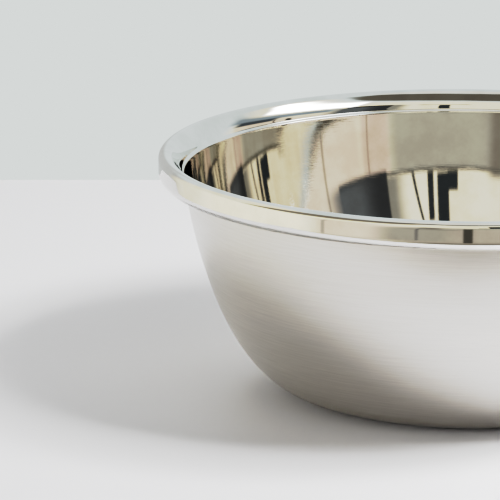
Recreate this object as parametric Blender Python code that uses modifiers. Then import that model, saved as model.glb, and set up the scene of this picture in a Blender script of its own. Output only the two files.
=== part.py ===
"""Mixing bowl: a drawn steel body, a wide rolled rim and the wire that is closed inside the roll.

Metres, +Z up. The origin is on the bowl's axis, at the plane that its base stands on.
"""

import math

import bpy
from mathutils import Vector

# Driving dimensions.
RIM_RADIUS = 0.140          # axis to the outermost line of the roll
HEIGHT = 0.108              # table to the crown of the roll
SHEET = 0.0008              # thickness of the drawn sheet
GAP = 0.0003                # clearance between pieces that touch

# The base: a flat ring to stand on round a shallow push-up.
BASE_RADIUS = 0.0759        # where the flat base ends
BASE_BEND = 0.012           # bend radius between the base and the wall
PUSH_UP_RADIUS = 0.058      # inner edge of the flat standing ring
PUSH_UP_RAMP = 0.006        # width of the slope up to the raised centre
PUSH_UP_HEIGHT = 0.0012

# The wall leaves the base at one angle and reaches its top edge at another.
WALL_START_ANGLE = math.radians(10.0)     # above the horizontal
WALL_END_ANGLE = math.radians(8.0)       # away from the vertical
WALL_START_REACH = 0.038
WALL_END_REACH = 0.018
WALL_TOP_RADIUS = 0.1288     # outer skin of the wall at its top edge
WALL_TOP_HEIGHT = 0.0976

# The roll: a short lip that carries on the line of the wall, a small shoulder out of it, a flare
# up and out to the crown, a flat outer face, and a wider bend that tucks under towards the wall.
LIP_HEIGHT = 0.0004
SHOULDER_WIDTH = 0.0013
SHOULDER_RISE = 0.0017
FLARE_START_ANGLE = math.radians(19)      # away from the vertical, at the shoulder
FLARE_END_ANGLE = math.radians(40)        # away from the vertical, where the crown bend begins
HANDLE_SHARE = 0.36         # length of a curve's handles against its chord
INNER_CROWN_BEND = 0.0044
OUTER_CROWN_BEND = 0.0031
LOWER_BEND = 0.0042
ROLL_HEIGHT = 0.0126
TAIL_RISE = 0.0006          # how far the tucked-in edge turns up towards the wall

WIRE_RADIUS = 0.0026

STEPS = 64                  # facets round the axis
WIRE_SIDES = 8

COLLECTION_NAME = "mixing_bowl"


def clear_scene():
    """Empties the file of whatever was in it."""
    for obj in list(bpy.data.objects):
        bpy.data.objects.remove(obj, do_unlink=True)
    for collection in list(bpy.data.collections):
        bpy.data.collections.remove(collection)


def steel(name, colour, roughness):
    """A bare metal with one colour and one roughness."""
    material = bpy.data.materials.new(name)
    material.use_nodes = True
    shader = material.node_tree.nodes["Principled BSDF"]
    shader.inputs["Base Color"].default_value = (*colour, 1.0)
    shader.inputs["Metallic"].default_value = 1.0
    shader.inputs["Roughness"].default_value = roughness
    return material


def arc(centre, radius, start, end, count):
    """Points from one angle to another round a centre, in the radius and height plane."""
    angles = [start + (end - start) * i / count for i in range(count + 1)]
    return [centre + radius * Vector((math.cos(a), math.sin(a))) for a in angles]


def bezier(p0, p1, p2, p3, count):
    """Points along a cubic curve."""
    points = []
    for i in range(count + 1):
        t = i / count
        s = 1 - t
        points.append(s**3 * p0 + 3 * s * s * t * p1 + 3 * s * t * t * p2 + t**3 * p3)
    return points


def joined(*runs):
    """Several runs of points as one, without the points that two runs share."""
    points = []
    for run in runs:
        for point in run:
            if not points or (point - points[-1]).length > 1e-5:
                points.append(point)
    return points


def leaning(angle):
    """The upward direction that leans outwards by an angle from the vertical."""
    return Vector((math.sin(angle), math.cos(angle)))


def body_profile():
    """The body's outer skin, from the mouth down the wall and along the base to the axis."""
    base_edge = Vector((BASE_RADIUS, 0.0))
    mouth = Vector((WALL_TOP_RADIUS, WALL_TOP_HEIGHT))
    leaving = leaning(math.pi / 2 - WALL_START_ANGLE)
    arriving = leaning(WALL_END_ANGLE)
    bend_length = BASE_BEND * math.tan(WALL_START_ANGLE / 2)
    wall_start = base_edge + bend_length * leaving
    wall = bezier(
        mouth,
        mouth - WALL_END_REACH * arriving,
        base_edge + WALL_START_REACH * leaving,
        wall_start,
        14,
    )
    bend_centre = Vector((BASE_RADIUS - bend_length, BASE_BEND))
    bend = arc(bend_centre, BASE_BEND, WALL_START_ANGLE - math.pi / 2, -math.pi / 2, 2)
    ring = [Vector((PUSH_UP_RADIUS, 0.0))]
    raised = [Vector((PUSH_UP_RADIUS - PUSH_UP_RAMP, PUSH_UP_HEIGHT)), Vector((0.0, PUSH_UP_HEIGHT))]
    return joined(wall, bend, ring, raised)


def slope(start, start_angle, end, end_angle, count):
    """A curve up and out from one point to another, with its lean from the vertical at each end."""
    handle = HANDLE_SHARE * (end - start).length
    return bezier(start, start + handle * leaning(start_angle), end - handle * leaning(end_angle), end, count)


def roll_profile():
    """The roll's visible skin, from the mouth up the flare, over the crown and round to its tail."""
    along = leaning(WALL_END_ANGLE)
    into_mouth = Vector((-along.y, along.x))
    lip = Vector((WALL_TOP_RADIUS, WALL_TOP_HEIGHT)) + SHEET * into_mouth + GAP * along
    lip_top = lip + LIP_HEIGHT * along
    shoulder_top = lip_top + Vector((SHOULDER_WIDTH, SHOULDER_RISE))
    shoulder = slope(lip_top, WALL_END_ANGLE, shoulder_top, FLARE_START_ANGLE, 4)

    crown_radius = RIM_RADIUS - OUTER_CROWN_BEND
    inner_centre = Vector((crown_radius, HEIGHT - INNER_CROWN_BEND))
    outer_centre = Vector((crown_radius, HEIGHT - OUTER_CROWN_BEND))
    inner_crown = arc(inner_centre, INNER_CROWN_BEND, math.pi - FLARE_END_ANGLE, math.pi / 2, 4)
    outer_crown = arc(outer_centre, OUTER_CROWN_BEND, math.pi / 2, 0.0, 6)
    flare = slope(shoulder_top, FLARE_START_ANGLE, inner_crown[0], FLARE_END_ANGLE, 4)

    lower_centre = Vector((RIM_RADIUS - LOWER_BEND, HEIGHT - ROLL_HEIGHT + LOWER_BEND))
    lower = arc(lower_centre, LOWER_BEND, 0.0, -math.pi / 2, 7)
    below = WALL_TOP_HEIGHT - lower[-1].y
    wall_at_tail = WALL_TOP_RADIUS - below * math.tan(WALL_END_ANGLE)
    tail = Vector((wall_at_tail + GAP + SHEET / 2, lower[-1].y + TAIL_RISE))
    return joined([lip], shoulder, flare, inner_crown, outer_crown, lower, [tail])


def turned_sheet(name, profile, material, collection):
    """A profile turned round the Z axis, with the sheet's thickness behind the visible skin."""
    mesh = bpy.data.meshes.new(name)
    edges = [(i, i + 1) for i in range(len(profile) - 1)]
    mesh.from_pydata([(p.x, 0.0, p.y) for p in profile], edges, [])
    mesh.materials.append(material)
    obj = bpy.data.objects.new(name, mesh)
    collection.objects.link(obj)

    screw = obj.modifiers.new("Turn", "SCREW")
    screw.axis = "Z"
    screw.angle = 2 * math.pi
    screw.steps = STEPS
    screw.render_steps = STEPS
    screw.use_merge_vertices = True
    screw.merge_threshold = 0.00001
    screw.use_smooth_shade = True

    solidify = obj.modifiers.new("Sheet", "SOLIDIFY")
    solidify.thickness = SHEET
    solidify.offset = -1.0
    solidify.use_even_offset = True
    return obj


def rim_wire(material, collection):
    """The wire, lying against the inside of the roll's outer face."""
    centre_radius = RIM_RADIUS - SHEET - GAP - WIRE_RADIUS
    centre_height = HEIGHT - ROLL_HEIGHT / 2
    bpy.ops.mesh.primitive_torus_add(
        major_radius=centre_radius,
        minor_radius=WIRE_RADIUS,
        major_segments=STEPS,
        minor_segments=WIRE_SIDES,
        location=(0.0, 0.0, centre_height),
    )
    obj = bpy.context.active_object
    obj.name = "rim_wire"
    obj.data.name = "rim_wire"
    obj.data.materials.append(material)
    obj.data.shade_smooth()
    for holder in list(obj.users_collection):
        holder.objects.unlink(obj)
    collection.objects.link(obj)
    return obj


def build():
    clear_scene()
    collection = bpy.data.collections.new(COLLECTION_NAME)
    bpy.context.scene.collection.children.link(collection)

    brushed = steel("brushed_steel", (0.62, 0.60, 0.57), 0.34)
    polished = steel("polished_steel", (0.70, 0.68, 0.64), 0.06)
    bare = steel("bare_wire", (0.52, 0.52, 0.51), 0.45)

    turned_sheet("bowl_body", body_profile(), brushed, collection)
    turned_sheet("rolled_rim", roll_profile(), polished, collection)
    rim_wire(bare, collection)


build()
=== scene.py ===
import math

import bpy
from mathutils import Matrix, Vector


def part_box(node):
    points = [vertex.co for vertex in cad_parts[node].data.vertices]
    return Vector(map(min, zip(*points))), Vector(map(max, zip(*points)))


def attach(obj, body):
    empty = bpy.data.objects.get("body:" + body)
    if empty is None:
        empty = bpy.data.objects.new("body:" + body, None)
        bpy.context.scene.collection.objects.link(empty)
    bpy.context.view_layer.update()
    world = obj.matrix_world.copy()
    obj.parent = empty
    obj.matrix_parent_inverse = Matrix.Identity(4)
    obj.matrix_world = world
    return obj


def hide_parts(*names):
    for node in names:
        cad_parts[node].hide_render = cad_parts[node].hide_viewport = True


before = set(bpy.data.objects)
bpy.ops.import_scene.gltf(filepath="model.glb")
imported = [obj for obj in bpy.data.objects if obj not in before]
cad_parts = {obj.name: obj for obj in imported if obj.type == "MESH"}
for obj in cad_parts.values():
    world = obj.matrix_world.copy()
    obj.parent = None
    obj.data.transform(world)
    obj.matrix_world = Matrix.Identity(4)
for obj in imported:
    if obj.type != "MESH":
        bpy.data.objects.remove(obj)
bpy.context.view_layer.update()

# ---- Sizes, in metres. The outer ones come from the CAD frame. ----

RIM_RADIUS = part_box("rolled_rim")[1].x
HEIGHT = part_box("rolled_rim")[1].z
SHEET = 0.0008              # the steel sheet's thickness
JOIN_GAP = 0.00002          # hairline between the body's top edge and the roll

BASE_RADIUS = 0.0759
BASE_BEND = 0.012
PUSH_UP_RADIUS = 0.058
PUSH_UP_RAMP = 0.006
PUSH_UP_HEIGHT = 0.0012
RAMP_HANDLE = PUSH_UP_RAMP / 2.2          # shapes the curve of the ramp

WALL_START_ANGLE = math.radians(10.0)     # above the horizontal
WALL_END_ANGLE = math.radians(8.0)        # away from the vertical
WALL_START_REACH = 0.038
WALL_END_REACH = 0.018
WALL_TOP_RADIUS = 0.1288
WALL_TOP_HEIGHT = 0.0976

LIP_HEIGHT = 0.0007
SHOULDER_WIDTH = 0.0013
SHOULDER_RISE = 0.0017
FLARE_START_ANGLE = math.radians(19)
FLARE_END_ANGLE = math.radians(40)
HANDLE_SHARE = 0.36         # handle length of a curve, as a share of the line between its ends
INNER_CROWN_BEND = 0.0044
OUTER_CROWN_BEND = 0.0031
LOWER_BEND = 0.0042
ROLL_HEIGHT = 0.0126
TAIL_RISE = 0.0006
TAIL_CLEARANCE = 0.0005

STEPS = 384                 # facets round the axis
SHARP_EDGE = math.radians(50)

# How many spans each run of a profile has.
WALL_SPANS = 72
BEND_SPANS = 8
RING_SPANS = 4
RAMP_SPANS = 10
CENTRE_SPANS = 8
SHOULDER_SPANS = 12
FLARE_SPANS = 16
INNER_CROWN_SPANS = 14
OUTER_CROWN_SPANS = 18
FACE_SPANS = 8
LOWER_SPANS = 18
TAIL_SPANS = 5

# ---- The camera, as the photographer's stood. ----

CAMERA_PLACE = (-0.0985, -1.6765, 0.4817)
CAMERA_PITCH = math.radians(14.07)        # below the horizon
CAMERA_LENS = 273.6         # in millimetres, as the sensor is
SENSOR = 36.0
NEAR_CLIP = 0.05
FAR_CLIP = 20.0

# ---- The table. ----

TABLE_BACK = 0.41
TABLE_FRONT = -0.24
TABLE_LEFT = -0.42
TABLE_RIGHT = 1.3
TABLE_THICKNESS = 0.03
TABLE_EDGE = 0.002          # how far its edges are rounded
TABLE_WHITE = ((201, 201, 203), (205, 205, 207))
TABLE_ROUGHNESS = 0.6
TABLE_SPECULAR = 0.25


def srgb(red, green, blue):
    """A display colour, 0 to 255, as linear light."""
    def one(value):
        value /= 255
        return value / 12.92 if value <= 0.04045 else ((value + 0.055) / 1.055) ** 2.4
    return (one(red), one(green), one(blue), 1.0)


# ---- Profiles, in the plane of radius and height. ----

SAME_POINT = 1e-6           # points nearer to each other than this are one point


def leaning(angle):
    """The upward direction that leans outwards by an angle from the vertical."""
    return Vector((math.sin(angle), math.cos(angle)))


def arc(centre, radius, start, end, count):
    """Points along a part of a circle."""
    angles = [start + (end - start) * i / count for i in range(count + 1)]
    return [centre + radius * Vector((math.cos(a), math.sin(a))) for a in angles]


def bezier(p0, p1, p2, p3, count):
    """Points along a cubic curve."""
    points = []
    for i in range(count + 1):
        t = i / count
        s = 1 - t
        points.append(s**3 * p0 + 3 * s * s * t * p1 + 3 * s * t * t * p2 + t**3 * p3)
    return points


def slope(start, start_angle, end, end_angle, count):
    """A curve between two points, with its lean from the vertical at each end."""
    handle = HANDLE_SHARE * (end - start).length
    leaving = start + handle * leaning(start_angle)
    arriving = end - handle * leaning(end_angle)
    return bezier(start, leaving, arriving, end, count)


def straight(start, end, count):
    """Points along a straight line."""
    return [start.lerp(end, i / count) for i in range(count + 1)]


def joined(*runs):
    """One profile from several runs, without doubled points."""
    points = []
    for run in runs:
        for point in run:
            if not points or (point - points[-1]).length > SAME_POINT:
                points.append(point)
    return points


def behind(profile, distance):
    """The profile moved sideways, to the left of the way it runs."""
    moved = []
    last = len(profile) - 1
    for i, point in enumerate(profile):
        before = point - profile[max(i - 1, 0)]
        after = profile[min(i + 1, last)] - point
        along = (before.normalized() + after.normalized()).normalized()
        left = Vector((-along.y, along.x))
        moved.append(point + distance * left)
    return moved


def body_skin():
    """The body's outer skin, from the mouth down the wall and along the base to the axis."""
    base_edge = Vector((BASE_RADIUS, 0.0))
    mouth = Vector((WALL_TOP_RADIUS, WALL_TOP_HEIGHT))
    leaving = leaning(math.pi / 2 - WALL_START_ANGLE)
    bend_length = BASE_BEND * math.tan(WALL_START_ANGLE / 2)
    wall_start = base_edge + bend_length * leaving
    wall = bezier(
        mouth,
        mouth - WALL_END_REACH * leaning(WALL_END_ANGLE),
        base_edge + WALL_START_REACH * leaving,
        wall_start,
        WALL_SPANS,
    )
    bend_centre = Vector((BASE_RADIUS - bend_length, BASE_BEND))
    bend = arc(bend_centre, BASE_BEND, WALL_START_ANGLE - math.pi / 2, -math.pi / 2, BEND_SPANS)
    ring = straight(bend[-1], Vector((PUSH_UP_RADIUS, 0.0)), RING_SPANS)
    raised = Vector((PUSH_UP_RADIUS - PUSH_UP_RAMP, PUSH_UP_HEIGHT))
    handle = Vector((RAMP_HANDLE, 0.0))
    ramp = bezier(ring[-1], ring[-1] - handle, raised + handle, raised, RAMP_SPANS)
    centre = straight(raised, Vector((0.0, PUSH_UP_HEIGHT)), CENTRE_SPANS)
    return joined(wall, bend, ring, ramp, centre)


def roll_skin():
    """The roll's visible skin, from the mouth up the flare, over the crown and round to its tail."""
    along = leaning(WALL_END_ANGLE)
    into_mouth = Vector((-along.y, along.x))
    lip = Vector((WALL_TOP_RADIUS, WALL_TOP_HEIGHT)) + SHEET * into_mouth + JOIN_GAP * along
    lip_top = lip + LIP_HEIGHT * along
    shoulder_top = lip_top + Vector((SHOULDER_WIDTH, SHOULDER_RISE))
    shoulder = slope(lip_top, WALL_END_ANGLE, shoulder_top, FLARE_START_ANGLE, SHOULDER_SPANS)

    crown_radius = RIM_RADIUS - OUTER_CROWN_BEND
    inner_centre = Vector((crown_radius, HEIGHT - INNER_CROWN_BEND))
    outer_centre = Vector((crown_radius, HEIGHT - OUTER_CROWN_BEND))
    crown_start = math.pi - FLARE_END_ANGLE
    inner_crown = arc(inner_centre, INNER_CROWN_BEND, crown_start, math.pi / 2, INNER_CROWN_SPANS)
    outer_crown = arc(outer_centre, OUTER_CROWN_BEND, math.pi / 2, 0.0, OUTER_CROWN_SPANS)
    flare = slope(shoulder_top, FLARE_START_ANGLE, inner_crown[0], FLARE_END_ANGLE, FLARE_SPANS)

    lower_centre = Vector((RIM_RADIUS - LOWER_BEND, HEIGHT - ROLL_HEIGHT + LOWER_BEND))
    lower = arc(lower_centre, LOWER_BEND, 0.0, -math.pi / 2, LOWER_SPANS)
    face = straight(outer_crown[-1], lower[0], FACE_SPANS)
    below = WALL_TOP_HEIGHT - lower[-1].y
    wall_at_tail = WALL_TOP_RADIUS - below * math.tan(WALL_END_ANGLE)
    tail = Vector((wall_at_tail + TAIL_CLEARANCE, lower[-1].y + TAIL_RISE))
    tucked = straight(lower[-1], tail, TAIL_SPANS)
    return joined([lip], shoulder, flare, inner_crown, outer_crown, face, lower, tucked)


# ---- Turned meshes. ----

ON_AXIS = 1e-6              # a point nearer to the axis than this lies on it
SKIN, BACK = 0, 1           # the material slots of a sheet's two faces


def turned(name, skin, back, skin_material, back_material):
    """One closed sheet turned round the Z axis: its visible skin, and its other face behind it."""
    outline = [(point, SKIN) for point in skin] + [(point, BACK) for point in reversed(back)]
    verts, faces, materials, rings = [], [], [], []
    for point, _ in outline:
        if point.x < ON_AXIS:
            rings.append([len(verts)])
            verts.append((0.0, 0.0, point.y))
            continue
        rings.append(list(range(len(verts), len(verts) + STEPS)))
        for step in range(STEPS):
            turn = 2 * math.pi * step / STEPS
            verts.append((point.x * math.cos(turn), point.x * math.sin(turn), point.y))
    count = len(outline)
    for i in range(count):
        here, there = rings[i], rings[(i + 1) % count]
        if len(here) == 1 and len(there) == 1:
            continue
        side = SKIN if outline[i][1] == outline[(i + 1) % count][1] == SKIN else BACK
        for step in range(STEPS):
            after = (step + 1) % STEPS
            if len(here) == 1:
                faces.append((here[0], there[step], there[after]))
            elif len(there) == 1:
                faces.append((here[step], there[0], here[after]))
            else:
                faces.append((here[step], there[step], there[after], here[after]))
            materials.append(side)
    mesh = bpy.data.meshes.new(name)
    mesh.from_pydata(verts, [], faces)
    mesh.materials.append(skin_material)
    mesh.materials.append(back_material)
    mesh.polygons.foreach_set("material_index", materials)
    mesh.shade_smooth()
    mesh.set_sharp_from_angle(angle=SHARP_EDGE)
    mesh.validate()
    mesh.update()
    obj = bpy.data.objects.new(name, mesh)
    bpy.context.scene.collection.objects.link(obj)
    return obj


# ---- Node helpers. ----


class Graph:
    """A material's or world's nodes, with short calls for the ones that are used here."""

    def __init__(self, tree):
        self.tree = tree

    def node(self, kind, **settings):
        made = self.tree.nodes.new(kind)
        for key, value in settings.items():
            setattr(made, key, value)
        return made

    def put(self, socket, value):
        if isinstance(value, bpy.types.NodeSocket):
            self.tree.links.new(value, socket)
        elif value is not None:
            socket.default_value = value

    def math(self, operation, first, second=None):
        made = self.node("ShaderNodeMath", operation=operation)
        self.put(made.inputs[0], first)
        self.put(made.inputs[1], second)
        return made.outputs[0]

    def ramp_between(self, value, low, high, out_low=0.0, out_high=1.0):
        made = self.node("ShaderNodeMapRange", interpolation_type="SMOOTHSTEP")
        self.put(made.inputs["Value"], value)
        self.put(made.inputs["From Min"], low)
        self.put(made.inputs["From Max"], high)
        self.put(made.inputs["To Min"], out_low)
        self.put(made.inputs["To Max"], out_high)
        return made.outputs["Result"]

    def mix(self, share, first, second):
        made = self.node("ShaderNodeMix", data_type="RGBA")
        self.put(made.inputs["Factor"], share)
        self.put(made.inputs["A"], first)
        self.put(made.inputs["B"], second)
        return made.outputs["Result"]

    def noise(self, vector, scale, detail, roughness=0.5):
        made = self.node("ShaderNodeTexNoise", noise_dimensions="3D")
        self.put(made.inputs["Vector"], vector)
        made.inputs["Scale"].default_value = scale
        made.inputs["Detail"].default_value = detail
        made.inputs["Roughness"].default_value = roughness
        return made.outputs["Fac"]

    def combine(self, x, y, z):
        made = self.node("ShaderNodeCombineXYZ")
        for socket, value in zip(made.inputs, (x, y, z)):
            self.put(socket, value)
        return made.outputs[0]

    def bump(self, height, distance, strength, normal=None):
        made = self.node("ShaderNodeBump")
        made.inputs["Strength"].default_value = strength
        made.inputs["Distance"].default_value = distance
        self.put(made.inputs["Height"], height)
        self.put(made.inputs["Normal"], normal)
        return made.outputs["Normal"]


# ---- Steel. ----

# Each grain: its lines per metre of wall, how often they break round the bowl, and its detail.
FINE_LINES = (5200.0, 9.0, 4.0)
COARSE_LINES = (900.0, 3.0, 3.0)
BROAD_BANDS = (90.0, 1.2, 3.0)
POLISH_LINES = (3600.0, 14.0, 3.0)
DIE_LINES = (4200.0, 5.0, 3.0)
RADIUS_SHARE = 0.83         # how much the distance along the wall grows with the radius
AXIS_RADIUS = 0.0005        # nearer to the axis than this, the grain counts as at this radius

BRUSHED_DARK = (210, 207, 202)
BRUSHED_LIGHT = (222, 219, 214)
BRUSHED_HANDLED = (211, 208, 203)
BRUSHED_ROUGHNESS = 0.32
COARSE_ROUGHNESS = 0.012    # how far the coarse lines move the roughness, up and down
BROAD_ROUGHNESS = 0.02
BRUSHED_ANISOTROPY = 0.6
QUARTER_TURN = 0.25         # stretches the highlight across the lines
BRUSHED_BUMP = (0.00002, 0.25)            # how deep the lines are, and how strongly they show
HANDLING_SCALE = 22.0

# Each mirror: its duller and its brighter colour, how strongly its polishing lines show, and how
# deep its ripples are.
BODY_MIRROR = ((226, 223, 219), (236, 235, 232), 0.25, 0.00006)
RIM_MIRROR = ((226, 224, 220), (236, 235, 232), 0.2, 0.00002)
POLISH_DEPTH = 0.00001
SMEAR_SCALE = 55.0
MIRROR_ROUGHNESS = 0.012
SMEAR_ROUGHNESS = 0.02
POLISH_ROUGHNESS = 0.012
RIPPLES_ROUND = 5.0         # ripples in the drawn sheet, round the bowl and per metre of height
RIPPLES_UP = 14.0

WIRE_LIGHT = (176, 176, 174)
WIRE_DARK = (150, 146, 140)
WIRE_ROUGHNESS = (0.36, 0.52)
WIRE_BUMP = (0.00003, 0.4)
SPOT_SCALE = 160.0


def new_steel(name):
    """A metal material, with its graph, its shader and the place on the object."""
    material = bpy.data.materials.new(name)
    material.use_nodes = True
    graph = Graph(material.node_tree)
    shader = material.node_tree.nodes["Principled BSDF"]
    shader.inputs["Metallic"].default_value = 1.0
    place = graph.node("ShaderNodeTexCoord").outputs["Object"]
    return material, graph, shader, place


def round_the_axis(graph, place):
    """Where a point lies round the axis, as a unit circle, with its radius and height."""
    split = graph.node("ShaderNodeSeparateXYZ")
    graph.put(split.inputs[0], place)
    x, y, z = split.outputs
    squares = graph.math("ADD", graph.math("MULTIPLY", x, x), graph.math("MULTIPLY", y, y))
    radius = graph.math("MAXIMUM", graph.math("SQRT", squares), AXIS_RADIUS)
    return graph.math("DIVIDE", x, radius), graph.math("DIVIDE", y, radius), radius, z


def grain(graph, around, lines, breaks, detail):
    """Noise drawn out into fine lines that run round the axis."""
    across, along, radius, height = around
    distance = graph.math("ADD", height, graph.math("MULTIPLY", radius, RADIUS_SHARE))
    vector = graph.combine(
        graph.math("MULTIPLY", across, breaks),
        graph.math("MULTIPLY", along, breaks),
        graph.math("MULTIPLY", distance, lines),
    )
    return graph.noise(vector, 1.0, detail)


def brushed_outside():
    """Satin outside: fine lines round the bowl, soft bands between them, and faint handling marks."""
    material, graph, shader, place = new_steel("bowl_brushed_steel")
    around = round_the_axis(graph, place)
    fine = grain(graph, around, *FINE_LINES)
    coarse = grain(graph, around, *COARSE_LINES)
    broad = grain(graph, around, *BROAD_BANDS)
    cloud = graph.noise(place, HANDLING_SCALE, 3.0)
    tone = graph.math("ADD", graph.math("MULTIPLY", fine, 0.6), graph.math("MULTIPLY", coarse, 0.4))
    light = graph.ramp_between(tone, 0.3, 0.7)
    colour = graph.mix(light, srgb(*BRUSHED_DARK), srgb(*BRUSHED_LIGHT))
    handled = graph.ramp_between(cloud, 0.35, 0.75, 0.0, 0.25)
    colour = graph.mix(handled, colour, srgb(*BRUSHED_HANDLED))
    graph.put(shader.inputs["Base Color"], colour)
    by_coarse = graph.ramp_between(coarse, 0.25, 0.75, -COARSE_ROUGHNESS, COARSE_ROUGHNESS)
    by_broad = graph.ramp_between(broad, 0.3, 0.7, -BROAD_ROUGHNESS, BROAD_ROUGHNESS)
    rough = graph.math("ADD", graph.math("ADD", by_coarse, BRUSHED_ROUGHNESS), by_broad)
    graph.put(shader.inputs["Roughness"], rough)
    shader.inputs["Anisotropic"].default_value = BRUSHED_ANISOTROPY
    shader.inputs["Anisotropic Rotation"].default_value = QUARTER_TURN
    tangent = graph.node("ShaderNodeTangent", direction_type="RADIAL", axis="Z")
    graph.put(shader.inputs["Tangent"], tangent.outputs[0])
    graph.put(shader.inputs["Normal"], graph.bump(fine, *BRUSHED_BUMP))
    return material


def mirror(name, dull, bright, lines_strength, ripple_depth):
    """Polished steel: a mirror with a faint draw ripple and fine polishing lines."""
    material, graph, shader, place = new_steel(name)
    around = round_the_axis(graph, place)
    polish = grain(graph, around, *POLISH_LINES)
    across, along, _, height = around
    ripple_place = graph.combine(
        graph.math("MULTIPLY", across, RIPPLES_ROUND),
        graph.math("MULTIPLY", along, RIPPLES_ROUND),
        graph.math("MULTIPLY", height, RIPPLES_UP),
    )
    ripple = graph.noise(ripple_place, 1.0, 1.0)
    smear = graph.noise(place, SMEAR_SCALE, 4.0, 0.6)
    colour = graph.mix(graph.ramp_between(smear, 0.35, 0.7), srgb(*bright), srgb(*dull))
    graph.put(shader.inputs["Base Color"], colour)
    by_smear = graph.ramp_between(smear, 0.4, 0.75, 0.0, SMEAR_ROUGHNESS)
    by_polish = graph.ramp_between(polish, 0.4, 0.8, 0.0, POLISH_ROUGHNESS)
    rough = graph.math("ADD", graph.math("ADD", by_smear, MIRROR_ROUGHNESS), by_polish)
    graph.put(shader.inputs["Roughness"], rough)
    fine = graph.bump(polish, POLISH_DEPTH, lines_strength)
    graph.put(shader.inputs["Normal"], graph.bump(ripple, ripple_depth, 1.0, fine))
    return material


def bare_wire():
    """Plain drawn wire: dull steel with long die lines."""
    material, graph, shader, place = new_steel("rim_wire_steel")
    around = round_the_axis(graph, place)
    lines = grain(graph, around, *DIE_LINES)
    spots = graph.noise(place, SPOT_SCALE, 4.0)
    spotted = graph.ramp_between(spots, 0.4, 0.7)
    colour = graph.mix(spotted, srgb(*WIRE_LIGHT), srgb(*WIRE_DARK))
    graph.put(shader.inputs["Base Color"], colour)
    graph.put(shader.inputs["Roughness"], graph.ramp_between(lines, 0.3, 0.7, *WIRE_ROUGHNESS))
    graph.put(shader.inputs["Normal"], graph.bump(lines, *WIRE_BUMP))
    return material


# ---- The pieces. ----


def build_bowl():
    """The body and the roll in fine steps, and the wire that the frame already holds."""
    brushed = brushed_outside()
    body_mirror = mirror("bowl_mirror_steel", *BODY_MIRROR)
    rim_mirror = mirror("rim_mirror_steel", *RIM_MIRROR)

    body_profile = body_skin()
    inner_profile = behind(body_profile, -SHEET)
    for point in inner_profile:
        point.x = max(point.x, 0.0)
    inner_profile[-1].x = 0.0
    body = turned("bowl_shell", body_profile, inner_profile, brushed, body_mirror)
    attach(body, "root")
    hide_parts("bowl_body")

    roll_profile = roll_skin()
    roll = turned("rim_roll", roll_profile, behind(roll_profile, -SHEET), rim_mirror, brushed)
    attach(roll, "root")
    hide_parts("rolled_rim")

    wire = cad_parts["rim_wire"]
    wire.data.materials.clear()
    wire.data.materials.append(bare_wire())


# ---- The studio. ----


def build_table():
    """A pale table, with its edges a little rounded."""
    mesh = bpy.data.meshes.new("table")
    corners = [
        (x, y, z)
        for z in (-TABLE_THICKNESS, 0.0)
        for y in (TABLE_FRONT, TABLE_BACK)
        for x in (TABLE_LEFT, TABLE_RIGHT)
    ]
    faces = [(0, 2, 3, 1), (4, 5, 7, 6), (0, 1, 5, 4), (2, 6, 7, 3), (0, 4, 6, 2), (1, 3, 7, 5)]
    mesh.from_pydata(corners, [], faces)
    table = bpy.data.objects.new("table", mesh)
    bpy.context.scene.collection.objects.link(table)
    bevel = table.modifiers.new("Edges", "BEVEL")
    bevel.width = TABLE_EDGE
    bevel.segments = 3
    material = bpy.data.materials.new("table_white")
    material.use_nodes = True
    graph = Graph(material.node_tree)
    shader = material.node_tree.nodes["Principled BSDF"]
    place = graph.node("ShaderNodeTexCoord").outputs["Object"]
    cloud = graph.noise(place, 3.0, 3.0)
    colour = graph.mix(cloud, *(srgb(*white) for white in TABLE_WHITE))
    graph.put(shader.inputs["Base Color"], colour)
    shader.inputs["Roughness"].default_value = TABLE_ROUGHNESS
    shader.inputs["Specular IOR Level"].default_value = TABLE_SPECULAR
    mesh.materials.append(material)


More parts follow.
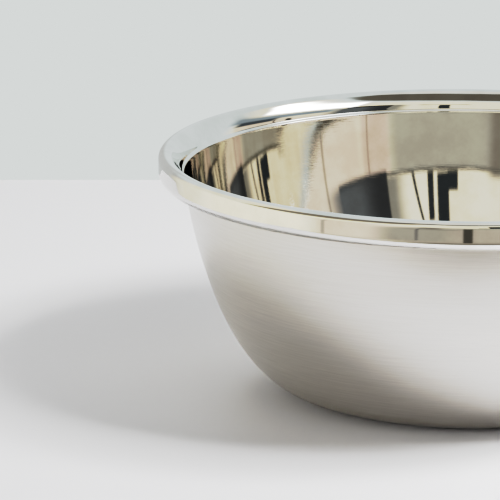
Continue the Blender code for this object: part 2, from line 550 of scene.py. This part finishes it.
# What stands round the table, as seen from it: a name, where it starts and ends in azimuth and
# in elevation, how soft its side edges and its top and bottom edges are, how much it leans (its
# height per degree of azimuth, and its azimuth per degree of height), its display colour and
# its brightness. Degrees throughout: azimuth 0 is behind the camera and 90 is to the right.
SURROUNDINGS = [
    ("side_shade", (-176, -134), (-16, 22), (6, 5), (0, 0), (178, 178, 174), 1.0),
    ("cream_wall", (-138, 112), (-30, 55), (8, 3), (0, 0), (213, 210, 196), 1.0),
    ("left_wall", (-116, -50), (-24, 22), (12, 6), (0, 0), (222, 219, 208), 1.0),
    ("front_wall", (-62, 0), (-22, 14.2), (6, 0.4), (-0.012, 0), (209, 202, 187), 1.0),
    ("left_corner", (-30, 0), (-22, 14.2), (7, 0.4), (-0.012, 0.6), (156, 150, 134), 1.0),
    ("low_wall", (-12, 32), (-22, 14.2), (6, 0.4), (-0.012, 0), (166, 161, 142), 1.0),
    ("low_front", (-9, 12), (-22, -6), (4, 3), (0, 0), (176, 166, 148), 1.0),
    ("corner_line", (-19.5, -13), (-11, 16), (2.5, 1.0), (0, 0), (116, 108, 94), 1.0),
    ("skirting", (-26, -6), (-12, -9), (3, 1.5), (0, 0), (136, 128, 112), 1.0),
    ("wire_left", (-57, -55.5), (-20, 6), (0.5, 1.0), (0, 0.12), (176, 168, 152), 1.0),
    ("wire_right", (-21.5, -20.3), (-20, -2), (0.5, 1.0), (0, 0.2), (98, 94, 88), 1.0),
    ("pink_edge", (31, 43), (-12, 13.6), (1.5, 0.4), (0, 0), (198, 184, 165), 1.0),
    ("right_wall", (43, 110), (-12, 26), (3, 3), (0, 0), (206, 198, 181), 1.0),
    ("cable", (39.7, 40.3), (0, 13.2), (0.25, 0.4), (0, 0.05), (150, 134, 112), 1.0),
    ("side_bar", (61.5, 62.5), (0, 22), (0.4, 1.0), (0, 0.05), (158, 145, 124), 1.0),
    ("far_bar", (78, 81), (0, 24), (0.6, 1.0), (0, 0), (44, 46, 46), 1.0),
    ("far_bar_thin", (86, 87), (0, 24), (0.4, 1.0), (0, 0.1), (96, 88, 76), 1.0),
    ("floor", (-62, 70), (-40, -16), (12, 2), (0, 0), (196, 188, 172), 1.0),
    ("floor_middle", (-30, 50), (-40, -15), (9, 2), (0, 0), (160, 150, 132), 1.0),
    ("under_table", (-20, 50), (-40, -23), (6, 2), (0, 0), (118, 108, 94), 1.0),
    ("tripod", (-4.6, -1.2), (-20, 3), (0.4, 0.5), (0, 0), (60, 57, 50), 1.0),
    ("left_beam", (-96, -30), (31, 66), (8, 5), (0.3, 0), (112, 104, 88), 1.0),
    ("left_beam_end", (-56, -28), (47, 67), (6, 3), (0, 0), (100, 92, 76), 1.0),
    ("ceiling_beam", (-40, 72), (58.3, 70), (10, 0.8), (0, 0), (80, 74, 64), 1.0),
    ("rail", (-20, 42), (13.9, 14.6), (1.0, 0.2), (-0.012, 0), (84, 80, 70), 1.0),
    ("flag_shade", (26.5, 40), (14.5, 44), (4.0, 0.5), (0, 0), (128, 124, 110), 1.0),
    ("black_flag", (33, 56), (13.2, 44), (0.5, 0.5), (0, 0), (39, 40, 40), 1.0),
    ("flag_fade", (42, 60), (13.6, 40), (6.0, 1.5), (0, 0), (78, 81, 81), 1.0),
    ("grey_flag", (60, 118), (28, 37), (4.0, 2.5), (-0.1, 0), (128, 140, 146), 1.0),
    ("dark_flag", (88, 112), (21, 29), (3.0, 2.0), (-0.1, 0), (52, 58, 62), 1.0),
    ("scrim", (54, 104), (41, 53), (2.5, 2.0), (-0.12, 0), (255, 255, 255), 1.1),
    ("column", (5.0, 10.2), (15.0, 40), (0.3, 0.5), (0, 0), (34, 37, 38), 1.0),
    ("head", (0.8, 5.5), (14.8, 18.8), (0.3, 0.3), (0, 0), (34, 37, 38), 1.0),
    ("column_side", (11.8, 14.4), (14.6, 26), (0.3, 0.5), (0, 0), (36, 38, 38), 1.0),
    ("leg", (18.6, 19.8), (14.4, 26), (0.3, 0.5), (0, -0.33), (40, 42, 42), 1.0),
    ("boom", (-4, 20), (41.4, 42.8), (2.0, 0.5), (0, 0), (92, 88, 76), 1.0),
]

MIRROR_TONE = (231, 229, 226)     # polished steel, through which the colours here are given
BACKDROP = (199, 203, 202)
CEILING = (204, 203, 198)
CAMERA_WALL = (213, 216, 215)
CEILING_FROM = 72.0               # elevation, in degrees
CEILING_BLUR = 4.0

# The soft light that falls on the table from low round about: where it starts and ends in
# azimuth and in elevation, and its strength.
SOFT_LIGHT = [
    ((0, 60), (25, 50), 2.2),
    ((60, 120), (25, 50), 0.9),
    ((120, 210), (0, 25), 6.5),
    ((-210, -120), (0, 25), 2.4),
    ((-210, -120), (25, 50), 0.9),
    ((-120, -60), (0, 40), 1.1),
    ((-60, 0), (0, 25), 5.8),
]
SOFT_EDGE = 6               # how soft those edges are, in degrees

# The softboxes: size, power, the azimuth and elevation that they shine from, how far they
# stand from the point that they face, and that point.
KEY = ((0.36, 0.2), 14.0, 65, 56, 0.8, (0.0, 0.0, 0.0))
WALL_GLOW = ((1.6, 0.5), 5.0, 170, 28, 0.85, (-0.25, 0.22, 0.0))

# The picture's tone curve: the light in the scene, and the light shown for it.
TONE = (
    (0.0, 0.0), (0.06, 0.014), (0.125, 0.042), (0.19, 0.10), (0.33, 0.27), (0.5, 0.5),
    (0.68, 0.63), (1.0, 0.71), (1.25, 0.77), (2.0, 0.92), (3.0, 1.0),
)
TONE_STEPS = 600
ALL_CHANNELS = 3            # the curve mapping's curve for red, green and blue together


def set_tone():
    """Sets the view's tone curve, and gives a table of it: lights, and what each shows as."""
    settings = bpy.context.scene.view_settings
    settings.view_transform = "Standard"
    settings.look = "None"
    settings.use_curve_mapping = True
    mapping = settings.curve_mapping
    brightest = TONE[-1][0]
    mapping.white_level = (brightest, brightest, brightest)
    curve = mapping.curves[ALL_CHANNELS]
    for light, shown in TONE[1:-1]:
        curve.points.new(light / brightest, shown)
    mapping.update()
    lights = [brightest * (i / TONE_STEPS) for i in range(TONE_STEPS + 1)]
    shown = [mapping.evaluate(curve, i / TONE_STEPS) for i in range(TONE_STEPS + 1)]
    return lights, shown


def in_scene(colour):
    """The light in the scene that shows as a display colour, from the table of the tone curve."""
    lights, shown = TONE_TABLE
    found = []
    for value in srgb(*colour)[:3]:
        i = next((i for i, level in enumerate(shown) if level >= value), len(shown) - 1)
        below = shown[i - 1] if i else 0.0
        share = (value - below) / (shown[i] - below) if i and shown[i] > below else 1.0
        found.append(lights[i - 1] + share * (lights[i] - lights[i - 1]) if i else 0.0)
    return tuple(found)


def mirrored(colour, power=1.0):
    """The light that shows as a display colour in polished steel."""
    steel = srgb(*MIRROR_TONE)
    return tuple(power * light / steel[i] for i, light in enumerate(in_scene(colour))) + (1.0,)


def patch(graph, azimuth, elevation, azimuths, elevations, blurs, leans):
    """How far a direction is inside a soft-edged patch of the surroundings."""
    across = graph.math("SUBTRACT", azimuth, sum(azimuths) / 2)
    level = graph.math("SUBTRACT", elevation, sum(elevations) / 2)
    slanted = across
    if leans[1]:
        slanted = graph.math("SUBTRACT", across, graph.math("MULTIPLY", level, leans[1]))
    if leans[0]:
        level = graph.math("SUBTRACT", level, graph.math("MULTIPLY", across, leans[0]))
    masks = []
    for value, (start, end), blur in zip((slanted, level), (azimuths, elevations), blurs):
        half = (end - start) / 2
        away = graph.math("ABSOLUTE", value)
        masks.append(graph.ramp_between(away, half - blur, half + blur, 1.0, 0.0))
    return graph.math("MULTIPLY", *masks)


def build_world():
    """The room: the plain wall that the camera sees, and what the bowl mirrors."""
    world = bpy.data.worlds.new("studio")
    world.use_nodes = True
    bpy.context.scene.world = world
    graph = Graph(world.node_tree)
    shader = world.node_tree.nodes["Background"]
    direction = graph.node("ShaderNodeTexCoord").outputs["Generated"]
    split = graph.node("ShaderNodeSeparateXYZ")
    graph.put(split.inputs[0], direction)
    x, y, z = split.outputs
    azimuth = graph.math("DEGREES", graph.math("ARCTAN2", x, graph.math("MULTIPLY", y, -1.0)))
    elevation = graph.math("DEGREES", graph.math("ARCSINE", z))

    colour = graph.mix(
        graph.ramp_between(elevation, CEILING_FROM - CEILING_BLUR, CEILING_FROM + CEILING_BLUR),
        mirrored(BACKDROP),
        mirrored(CEILING),
    )
    for _, azimuths, elevations, blurs, leans, tint, power in SURROUNDINGS:
        inside = patch(graph, azimuth, elevation, azimuths, elevations, blurs, leans)
        colour = graph.mix(inside, colour, mirrored(tint, power))
    soft = (0.0, 0.0, 0.0, 1.0)
    for azimuths, elevations, strength in SOFT_LIGHT:
        blurs = (SOFT_EDGE, SOFT_EDGE)
        inside = patch(graph, azimuth, elevation, azimuths, elevations, blurs, (0, 0))
        soft = graph.mix(inside, soft, (strength, strength, strength, 1.0))
    path = graph.node("ShaderNodeLightPath")
    colour = graph.mix(path.outputs["Is Diffuse Ray"], colour, soft)
    colour = graph.mix(path.outputs["Is Camera Ray"], colour, in_scene(CAMERA_WALL) + (1.0,))
    graph.put(shader.inputs["Color"], colour)
    world.cycles.sampling_method = "AUTOMATIC"


def softbox(name, size, power, azimuth, elevation, distance, aim):
    """A rectangular softbox that faces a point on the table."""
    light = bpy.data.lights.new(name, "AREA")
    light.shape = "RECTANGLE"
    light.size, light.size_y = size
    light.energy = power
    obj = bpy.data.objects.new(name, light)
    bpy.context.scene.collection.objects.link(obj)
    azimuth, elevation = math.radians(azimuth), math.radians(elevation)
    toward = Vector((
        math.sin(azimuth) * math.cos(elevation),
        -math.cos(azimuth) * math.cos(elevation),
        math.sin(elevation),
    ))
    obj.location = Vector(aim) + distance * toward
    obj.rotation_euler = (-toward).to_track_quat("-Z", "Y").to_euler()
    return obj


def build_lights():
    """The key, high on the right, and the glow of the wall behind. The bowl mirrors neither."""
    for lamp in (softbox("key", *KEY), softbox("wall_glow", *WALL_GLOW)):
        lamp.visible_camera = False
        lamp.visible_glossy = False


def build_camera():
    """The camera, on a long lens a little above the bowl."""
    data = bpy.data.cameras.new("camera")
    data.lens = CAMERA_LENS
    data.sensor_width = SENSOR
    data.clip_start = NEAR_CLIP
    data.clip_end = FAR_CLIP
    obj = bpy.data.objects.new("camera", data)
    bpy.context.scene.collection.objects.link(obj)
    obj.location = CAMERA_PLACE
    obj.rotation_euler = (math.pi / 2 - CAMERA_PITCH, 0.0, 0.0)
    bpy.context.scene.camera = obj


TONE_TABLE = set_tone()       # before the world, whose colours go through it
build_camera()
build_table()
build_world()
build_lights()
build_bowl()

bpy.context.view_layer.update()
